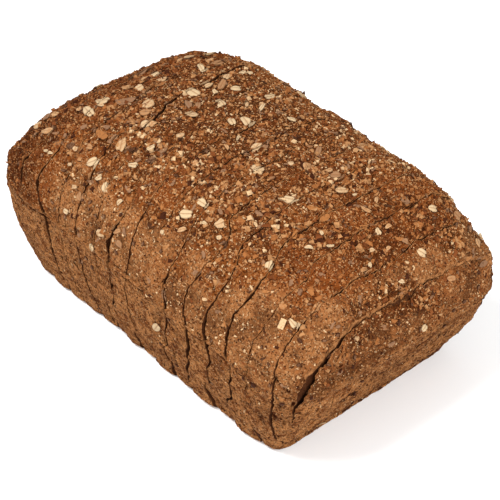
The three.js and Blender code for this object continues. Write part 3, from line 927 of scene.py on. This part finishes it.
def strew(name, templates, copies, finish, split=False):
    """Joins many copies of a few templates into one piece, which settles with the slices. A copy that a cut
    would cross is cut off flush with its slice, and split keeps its other part on the neighbouring slice."""
    slices_here = slice_at(copies["place"])
    rows = np.arange(len(slices_here))
    if split:
        reach = copies["size"][:, 0] / 2
        for side in (-1, 1):
            beside = copies["place"] + np.stack([reach * side, 0 * reach, 0 * reach], axis=-1)
            crossed = np.flatnonzero(slice_at(beside) != slice_at(copies["place"]))
            rows = np.concatenate([rows, crossed])
            slices_here = np.concatenate([slices_here, slice_at(beside)[crossed]])
    all_points, all_corners, all_tints, all_local = [], [], [], []
    start = 0
    for form, (template, corners) in enumerate(templates):
        for index in range(CUT_COUNT + 1):
            chosen = rows[(copies["form"][rows] == form) & (slices_here == index)]
            if not len(chosen):
                continue
            local = template[None] * copies["size"][chosen][:, None, :]
            points = np.einsum("nij,nkj->nki", copies["frame"][chosen], local)
            points = (points + copies["place"][chosen][:, None, :]).reshape(-1, 3)
            x, y, z = points.T
            left, right = slice_ends(index, y, z)
            x = np.maximum(np.minimum(x, right), left)
            all_points.append(settle(np.stack([x, y, z], axis=-1), index))
            count = len(template)
            offsets = start + count * np.arange(len(chosen))
            all_corners.append((corners[None] + offsets[:, None, None]).reshape(-1, 3))
            all_tints.append(np.repeat(copies["tint"][chosen], count))
            all_local.append(np.tile(template, (len(chosen), 1)))
            start += count * len(chosen)
    points = np.clip(np.concatenate(all_points) * MM, cad_bounds[0], cad_bounds[1])
    mesh = bpy.data.meshes.new(name)
    mesh.from_pydata(points, [], np.concatenate(all_corners).tolist())
    piece = bpy.data.objects.new(name, mesh)
    bpy.context.collection.objects.link(piece)
    write_attribute(piece, "tint", np.concatenate(all_tints))
    local_place = mesh.attributes.new("local_place", "FLOAT_VECTOR", "POINT")
    local_place.data.foreach_set("vector", np.concatenate(all_local).astype(np.float32).ravel())
    mesh.materials.append(finish.material)
    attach(piece, "root")
    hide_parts(*(slice_name(index) for index in range(CUT_COUNT + 1)))
    return piece


CELLS_TRIED = 6  # for each bit that is strewn
baked_loaf = BVHTree.FromPolygons(baked.tolist(), loaf_polygons.tolist())
cell_corners = baked[loaf_polygons]
cell_middle = cell_corners.mean(axis=1)
cell_cross = np.cross(cell_corners[:, 2] - cell_corners[:, 0], cell_corners[:, 3] - cell_corners[:, 1])
cell_area = np.linalg.norm(cell_cross, axis=1) / 2
cell_out = broad_normals[loaf_polygons].mean(axis=1)
cell_cover = grain_cover[loaf_polygons].mean(axis=1)
cell_crown = crown_mask[loaf_polygons].mean(axis=1)
cell_standing = smooth_step(1.5, 5, cell_middle[:, 2])
cell_furrow = furrow_share[loaf_polygons].mean(axis=1)
cell_browned = browned[loaf_polygons].mean(axis=1)

# Small bits fell away beside the cuts.
cell_clear = np.ones(len(cell_middle))
for cut in range(CUT_COUNT):
    x, y, z = cell_middle.T
    away = np.abs(x - cut_middle(cut, y, z)) - half_gap(cut, y, z)
    cell_clear = np.minimum(cell_clear, smooth_step(0.0, 0.7, away))


def draw_cells(draws, count, density, spacing):
    """Cells of the skin, drawn by density, about the spacing apart or more."""
    odds = cell_area * density
    picked = draws.choice(len(odds), size=CELLS_TRIED * count, p=odds / odds.sum())
    draws.shuffle(picked)
    blocks = np.floor(cell_middle[picked] / spacing).astype(int)
    _, first = np.unique(blocks, axis=0, return_index=True)
    first = np.sort(first)[:count]
    return picked[first]


def place_seen(flakes, thickness, lift):
    """Copies for flakes that are placed by where the camera sees them. Each rests on the bumps under it."""
    places, outs, headings, sizes, tints = [], [], [], [], []
    for picture_x, picture_y, length, width, angle, tone in flakes:
        ray = ray_through(picture_x, picture_y)
        place, _, _, distance = baked_loaf.ray_cast(view_eye, ray)
        _, out = seen_at(picture_x, picture_y)
        turn = math.radians(angle)
        bumps = [0]
        for step, side in ((-0.3, 0), (0.3, 0), (0, -0.3), (0, 0.3), (0.2, 0.2), (-0.2, -0.2)):
            right = step * length * math.cos(turn) - side * width * math.sin(turn)
            up = step * length * math.sin(turn) + side * width * math.cos(turn)
            beside, _, _, _ = baked_loaf.ray_cast(view_eye, ray_through(picture_x + right, picture_y - up))
            if beside:
                bumps.append(min((beside - place).dot(out), HIGHEST_BUMP))
        stretched = []
        for part in (turn, turn + math.pi / 2):
            heading = math.cos(part) * view_right + math.sin(part) * view_up
            heading -= ray * (heading.dot(out) / ray.dot(out))
            stretched.append(heading)
        per_pixel = distance / FOCAL_PIXELS
        places.append(place + out * (lift + BUMP_SHARE * max(bumps)))
        outs.append(out)
        headings.append(stretched[0])
        sizes.append((length * per_pixel * min(stretched[0].length, LONGEST_STRETCH),
                      width * per_pixel * min(stretched[1].length, LONGEST_STRETCH), thickness))
        tints.append(tone)
    lists = {"place": places, "out": outs, "heading": headings, "size": sizes, "tint": tints}
    return {name: np.array(values) for name, values in lists.items()}


def seen_and_strewn(draws, seen, strewn, sizes, lift, tilt, tints, form_count):
    """Copies for the flakes that are placed as the photograph shows them and for those strewn at random."""
    outs = np.concatenate([seen["out"], cell_out[strewn]])
    leaning = tilted(draws, outs, tilt)
    headings = np.concatenate([seen["heading"], random_headings(draws, len(strewn))])
    return {
        "place": np.concatenate([seen["place"], cell_middle[strewn] + lift * cell_out[strewn]]),
        "frame": frames_for(leaning, headings),
        "size": np.concatenate([seen["size"], sizes]),
        "tint": np.concatenate([seen["tint"], draws.uniform(*tints, len(strewn))]),
        "form": draws.integers(0, form_count, len(outs)),
    }


OAT_DRAWS = np.random.default_rng(11)
seen = place_seen(OATS_SEEN, OAT_THICKNESS, 0.25)
out_of_sight = smooth_step(0.25, -0.1, cell_out @ np.array(view_back))
density = cell_crown * (0.15 + cell_cover) * (0.05 + out_of_sight)
strewn = draw_cells(OAT_DRAWS, OATS_STREWN, density, OAT_SPACING)
lengths = OAT_DRAWS.uniform(3, 7.5, len(strewn))
widths = lengths * OAT_DRAWS.uniform(0.5, 0.8, len(strewn))
sizes = np.stack([lengths, widths, 0 * lengths + OAT_THICKNESS], axis=-1)
oat_copies = seen_and_strewn(OAT_DRAWS, seen, strewn, sizes, 0.15, 0.1, (0.3, 1), len(OAT_FORMS))

# Oats baked cream to tan, darker in the crease and at the rim.
OAT_CREAM = tint(170, 146, 113)
OAT_TAN = tint(150, 107, 68)
OAT_GREY = tint(115, 85, 62)
OAT_CREASE = tint(111, 67, 34)

oat = Finish("oat", roughness=0.75, specular=0.1)
_, oat_across, _ = oat.parts(oat.attribute("local_place", out="Vector"))
oat_pale = oat.attribute("tint")
oat_side = oat_across.math("ABSOLUTE", oat_across)
oat_mottle = oat.noise(1.1, 3, 0.65)
oat_tone = oat.mix(oat_pale.between(0.3, 0.6), OAT_GREY, OAT_TAN)
oat_tone = oat.mix((oat_pale + oat_mottle * 0.5).between(0.7, 1.15), oat_tone, OAT_CREAM)
oat_dark = oat_side.between(0.1, 0.02) * 0.5 + oat_side.between(0.36, 0.5) * 0.35
oat_tone = oat.mix(oat_dark, oat_tone, OAT_CREASE)
oat_tone = oat.mix(oat_mottle.between(0.42, 0.3) * 0.5, oat_tone, OAT_CREASE)
oat.link(Base_Color=oat_tone, Normal=oat.bump(oat_mottle, 0.25))
oat_templates = [form_oat(*form, seed) for seed, form in enumerate(OAT_FORMS)]
oats = strew("oats", oat_templates, oat_copies, oat, split=True)
shade_smooth(oats)


# ---- Husks and bran flakes ----
# Thin curled skins of the grain, grey to tan, baked onto the crust.
HUSKS_SEEN = (
    (125.8, 101, 19.5, 6.5, 14, 0.45), (103, 136, 15, 8, -42, 0.6), (140, 74, 21, 6, 35, 0.2),
    (58.6, 142.4, 10, 3, 25, 0.6), (161, 85.5, 10.5, 3.5, 45, 0.55), (312.8, 208.6, 14, 5, -3, 0.65),
    (323.6, 218.2, 13, 7, 32, 0.6), (385.5, 163.4, 14, 1.8, -4, 0.8), (283.1, 305.6, 8, 6.5, 10, 0.8),
    (99.6, 285.6, 8, 7, -20, 0.75), (75.2, 266.6, 12, 4.3, -78, 0.75), (482.4, 261.6, 10, 5, 30, 0.2),
    (321.6, 422.7, 9, 2.3, 30, 1), (150, 160, 9, 4, 40, 0.1), (133, 151, 11, 5, 10, 0.05),
    (73, 146, 10, 5, 12, 0.1),
)
HUSK_THICKNESS = 0.45
HUSKS_STREWN = 620
HUSK_SPACING = 2.4
HUSK_FORMS = ((0.5, 1.6, 0.08), (-0.8, 1.0, 0.1), (1.4, 0.4, 0.12), (0.4, -0.9, 0.1))


def form_husk(end_curl, side_curl, ragged, seed):
    """A curled flake one unit long, wide and thick."""
    bpy.ops.object.select_all(action="DESELECT")
    bpy.ops.mesh.primitive_uv_sphere_add(segments=8, ring_count=4, radius=0.5)
    husk = bpy.context.object
    points = read_points(husk)
    x, y, z = points.T
    lift = end_curl * (2 * x) ** 2 + side_curl * (2 * y) ** 2
    write_points(husk, np.stack([x, y, z + lift], axis=-1))
    make_ragged(ragged, seed)
    return triangles_of(husk)


HUSK_DRAWS = np.random.default_rng(23)
seen = place_seen(HUSKS_SEEN, HUSK_THICKNESS, 0.1)
density = cell_crown * (0.1 + cell_cover) + 0.02 * cell_standing
strewn = draw_cells(HUSK_DRAWS, HUSKS_STREWN, density, HUSK_SPACING)
lengths = HUSK_DRAWS.uniform(1.8, 4.2, len(strewn))
widths = lengths * HUSK_DRAWS.uniform(0.3, 0.6, len(strewn))
sizes = np.stack([lengths, widths, 0 * lengths + HUSK_THICKNESS], axis=-1)
husk_copies = seen_and_strewn(HUSK_DRAWS, seen, strewn, sizes, 0.1, 0.16, (0, 0.85), len(HUSK_FORMS))

# Husks run from a dark brown through a dull grey brown and tan to a few that are nearly cream.
HUSK_DARK = tint(60, 35, 20)
HUSK_GREY = tint(118, 86, 62)
HUSK_TAN = tint(134, 86, 47)
HUSK_PALE = tint(165, 134, 98)

husk = Finish("husk", roughness=0.8, specular=0.04)
husk_pale = husk.attribute("tint")
husk_mottle = husk.noise(1.0, 3, 0.6)
husk_shade = husk_pale + husk_mottle * 0.3
husk_tone = husk.mix(husk_shade.between(0.2, 0.35), HUSK_DARK, HUSK_GREY)
husk_tone = husk.mix(husk_shade.between(0.6, 0.75), husk_tone, HUSK_TAN)
husk_tone = husk.mix(husk_shade.between(0.9, 1.15), husk_tone, HUSK_PALE)
husk_tone = husk.mix(husk_mottle.between(0.5, 0.3) * 0.5, husk_tone, HUSK_DARK)
husk.link(Base_Color=husk_tone, Normal=husk.bump(husk_mottle, 0.3))
husk_templates = [form_husk(*form, seed) for seed, form in enumerate(HUSK_FORMS)]
strew("husks", husk_templates, husk_copies, husk, split=True)


# ---- Linseeds ----
# Small flat drops of dark brown with a painted greyish highlight on top, baked into the crust of the crown and
# the walls. Those that show best lie as they do in the photograph: place, length, width, turn in degrees, and
# how strong the painted highlight on each is.
SEEDS_SEEN = (
    (212.9, 272.5, 6, 3.3, -5, 0.8), (211.8, 278.5, 5.5, 3.2, -35, 0.9), (133.7, 243.2, 5.5, 3.2, 70, 0.6),
    (143.5, 243.2, 5.5, 2.8, 75, 0.6), (162.4, 249.7, 6, 3, 60, 0.5), (117.5, 251.9, 6.5, 3, -60, 0.4),
    (95.8, 216.1, 6, 3, -25, 0.7), (103.4, 216.1, 4.5, 3.5, 60, 0.7), (89.8, 202, 6, 3, 45, 0.7),
    (65.4, 170.6, 8, 3, -5, 0.5), (66.5, 180.4, 5.5, 3.2, -35, 0.5), (91.4, 267, 4.5, 3, 80, 0.3),
    (196.6, 232.9, 4.5, 3.6, 0, 0), (212.8, 176.6, 6, 4, 20, 0.1), (150, 204.2, 6, 2.5, -10, 0.4),
    (146.7, 185.8, 6, 2.8, 25, 0.6), (151.6, 294.2, 3.2, 2.8, 0, 0), (92, 232.4, 6, 2.4, 70, 0.1),
    (298.8, 271.4, 7, 3, 30, 0.6), (305.9, 270.8, 6, 3, -15, 0.6), (323.8, 340.8, 6.5, 3.4, 0, 0.8),
    (290.7, 331, 7, 3.5, -45, 0.3), (299.4, 341.3, 8, 4, -45, 0.1), (315.6, 316.4, 4.5, 3, -75, 0.4),
    (310.2, 303.4, 6.5, 2.5, -5, 0.9), (328.6, 361.9, 6.5, 3, -20, 0.5), (352.5, 364.6, 4.5, 3.2, -70, 0),
    (368.8, 328.3, 6, 2.6, 85, 0.1), (398.6, 319.6, 8, 3, 80, 0.1), (311.3, 395, 6, 3.6, 75, 0),
    (354.1, 392.8, 5, 2.2, 80, 0), (262.5, 346.7, 5, 3, -60, 0.5), (298.3, 365.1, 6, 3.6, 20, 0.3),
    (254.4, 384.7, 6, 3.6, -20, 0), (282, 403, 5, 3, 10, 0.1), (243.6, 378.2, 5, 2.8, -60, 0),
    (254, 192, 6, 3.4, 35, 0.2), (245, 187, 6, 3, 70, 0.2), (262.4, 256.3, 8, 3, 5, 0.1),
    (344.9, 226.4, 5.5, 3, -70, 0.4), (350, 228.5, 5, 2.8, -60, 0.5), (434, 290, 6, 3.4, 15, 0.1),
    (464.5, 298.6, 6, 3, 45, 0.3), (403, 250, 5, 3, -60, 0.4), (270, 265, 5, 2.6, 10, 0.4),
)
SEEDS_STREWN = 130
SEED_SPACING = 4
SEED_SIZE = (2.6, 1.5, 0.9)


def form_seed():
    """A linseed one unit long, wide and thick, with its point towards +x."""
    bpy.ops.object.select_all(action="DESELECT")
    bpy.ops.mesh.primitive_uv_sphere_add(segments=10, ring_count=6, radius=0.5)
    seed = bpy.context.object
    x, y, z = read_points(seed).T
    taper = 1 - 0.75 * smooth_step(-0.1, 0.5, x)
    write_points(seed, np.stack([x, y * taper, z * taper], axis=-1))
    return triangles_of(seed)


SEED_DRAWS = np.random.default_rng(31)
seen = place_seen(SEEDS_SEEN, SEED_SIZE[2], 0.2)
strewn = draw_cells(SEED_DRAWS, SEEDS_STREWN, cell_standing * (0.3 + 0.7 * cell_crown), SEED_SPACING)
scales = SEED_DRAWS.uniform(0.8, 1.15, (len(strewn), 1))
sizes = scales * np.array(SEED_SIZE)
seed_copies = seen_and_strewn(SEED_DRAWS, seen, strewn, sizes, 0.35, 0.12, (0, 1), 1)
# Dark brown seeds, with a painted grey highlight across the top of each, as strong as each seed's tint.
SEED_DARK = tint(52, 26, 13)
SEED_HIGHLIGHT_GREY = tint(114, 82, 58)

seed = Finish("linseed", roughness=0.7, specular=0.05)
_, _, seed_up = seed.parts(seed.attribute("local_place", out="Vector"))
# Painted highlight: grey across the top of each seed.
seed_highlight = seed_up.between(0.1, 0.4) * seed.attribute("tint")
seed.link(Base_Color=seed.mix(seed_highlight, SEED_DARK, SEED_HIGHLIGHT_GREY))
linseeds = strew("linseeds", [form_seed()], seed_copies, seed)
shade_smooth(linseeds)


# ---- Crushed grain and grit ----
# Kibbled wheat and bran, angular bits from cream through tan and orange to dark brown. They lie thick over
# the top and thin out down the shoulders, and the finest and palest of them are sprinkled over all of the
# crown.
GRAINS_STREWN = 15800
GRAIN_SPACING = 0.9
GRAIN_SEEDS = (3, 5, 8, 13, 21, 34)
GRIT_STREWN = 23000
GRIT_SPACING = 0.6


def form_grain(seed):
    """An angular chip one unit long, wide and thick, narrower on top."""
    bpy.ops.object.select_all(action="DESELECT")
    bpy.ops.mesh.primitive_cube_add(size=1)
    grain = bpy.context.object
    x, y, z = read_points(grain).T
    narrowing = 1 - 0.5 * (z > 0)
    write_points(grain, np.stack([x * narrowing, y * narrowing, z], axis=-1))
    make_ragged(0.24, seed)
    return triangles_of(grain)


def form_grit(seed):
    """The smallest bits: a lump with eight sides, a ball of two rings that are merged into one."""
    bpy.ops.object.select_all(action="DESELECT")
    bpy.ops.mesh.primitive_uv_sphere_add(segments=4, ring_count=3, radius=0.5)
    grit = bpy.context.object
    x, y, z = read_points(grit).T
    write_points(grit, np.stack([1.15 * x, 1.15 * y, np.where(np.abs(z) > 0.4, z, 0)], axis=-1))
    bpy.ops.object.mode_set(mode="EDIT")
    bpy.ops.mesh.select_all(action="SELECT")
    bpy.ops.mesh.remove_doubles(threshold=0.01)
    bpy.ops.object.mode_set(mode="OBJECT")
    make_ragged(0.2, seed)
    return triangles_of(grit)


def strewn_bits(draws, picked, lengths, form_count, tilt, lift, tints):
    widths = lengths * draws.uniform(0.4, 0.85, len(picked))
    depths = lengths * draws.uniform(0.25, 0.5, len(picked))
    return {
        "place": cell_middle[picked] + lift * cell_out[picked] * depths[:, None],
        "frame": frames_for(tilted(draws, cell_out[picked], tilt), random_headings(draws, len(picked))),
        "size": np.stack([lengths, widths, depths], axis=-1),
        "tint": tints,
        "form": draws.integers(0, form_count, len(picked)),
    }


GRAIN_DRAWS = np.random.default_rng(47)
density = cell_clear * cell_crown * (0.1 + cell_cover**1.3)
strewn = draw_cells(GRAIN_DRAWS, GRAINS_STREWN, density, GRAIN_SPACING)
lengths = np.exp(GRAIN_DRAWS.normal(math.log(1.0), 0.42, len(strewn))) * (1 + 0.55 * cell_furrow[strewn])
grain_copies = strewn_bits(GRAIN_DRAWS, strewn, np.clip(lengths, 0.6, 3.4), len(GRAIN_SEEDS), 0.55, 0.1,
                           GRAIN_DRAWS.uniform(0, 1, len(strewn)) * (1 - 0.25 * cell_browned[strewn]))

GRAIN_DARK = tint(52, 24, 10)
GRAIN_RUST = tint(100, 54, 25)
GRAIN_ORANGE = tint(129, 80, 42)
GRAIN_TAN = tint(146, 104, 66)
GRAIN_CREAM = tint(176, 145, 108)

grain = Finish("crushed_grain", roughness=0.8, specular=0.05)
grain_pale = grain.attribute("tint")
grain_mottle = grain.noise(0.9, 2)
grain_tone = grain.mix(grain_pale.between(0.07, 0.11), GRAIN_DARK, GRAIN_RUST)
grain_tone = grain.mix(grain_pale.between(0.32, 0.38), grain_tone, GRAIN_ORANGE)
grain_tone = grain.mix(grain_pale.between(0.58, 0.64), grain_tone, GRAIN_TAN)
grain_tone = grain.mix(grain_pale.between(0.86, 0.9), grain_tone, GRAIN_CREAM)
grain_tone = grain.mix(grain_mottle.between(0.5, 0.3) * 0.4, grain_tone, GRAIN_DARK)
grain.link(Base_Color=grain_tone, Normal=grain.bump(grain_mottle, 0.2))
strew("crushed_grain", [form_grain(seed) for seed in GRAIN_SEEDS], grain_copies, grain)

GRIT_DRAWS = np.random.default_rng(59)
density = cell_clear * cell_standing * (0.12 + cell_crown * (1 - 0.3 * cell_cover))
strewn = draw_cells(GRIT_DRAWS, GRIT_STREWN, density, GRIT_SPACING)
lengths = np.clip(np.exp(GRIT_DRAWS.normal(math.log(0.75), 0.33, len(strewn))), 0.4, 1.5)
grit_copies = strewn_bits(GRIT_DRAWS, strewn, lengths, 3, 0.5, 0.2,
                          GRIT_DRAWS.uniform(0, 1, len(strewn)) ** 0.8 * (1 - 0.1 * cell_browned[strewn]))
strew("grit", [form_grit(seed) for seed in range(3)], grit_copies, grain)


# ---- The floor and the light ----
# A plain pale floor, one large soft light from above the camera's left shoulder, and an even pale surround.
FLOOR_SIZE = 6
bpy.ops.object.select_all(action="DESELECT")
bpy.ops.mesh.primitive_plane_add(size=FLOOR_SIZE)
floor = bpy.context.object
floor.name = "floor"
floor_finish = Finish("pale_floor", roughness=0.9, specular=0.1)
floor_finish.shader.inputs["Base Color"].default_value = (0.86, 0.86, 0.86, 1)
floor.data.materials.append(floor_finish.material)


def add_softbox(name, place, size, power):
    bpy.ops.object.light_add(type="AREA", location=place)
    lamp = bpy.context.object
    lamp.name = name
    lamp.data.size = size
    lamp.data.energy = power
    lamp.rotation_euler = (Vector((0, 0, 0.05)) - Vector(place)).to_track_quat("-Z", "Y").to_euler()


add_softbox("key", (-0.2, -0.6, 1.0), 0.4, 15)
add_softbox("fill", (0.9, -0.3, 0.6), 0.8, 14.5)
world = bpy.data.worlds.new("surround")
world.use_nodes = True
world.node_tree.nodes["Background"].inputs["Color"].default_value = (1, 1, 1, 1)
world.node_tree.nodes["Background"].inputs["Strength"].default_value = 0.68
bpy.context.scene.world = world
bpy.context.scene.view_settings.view_transform = "Standard"
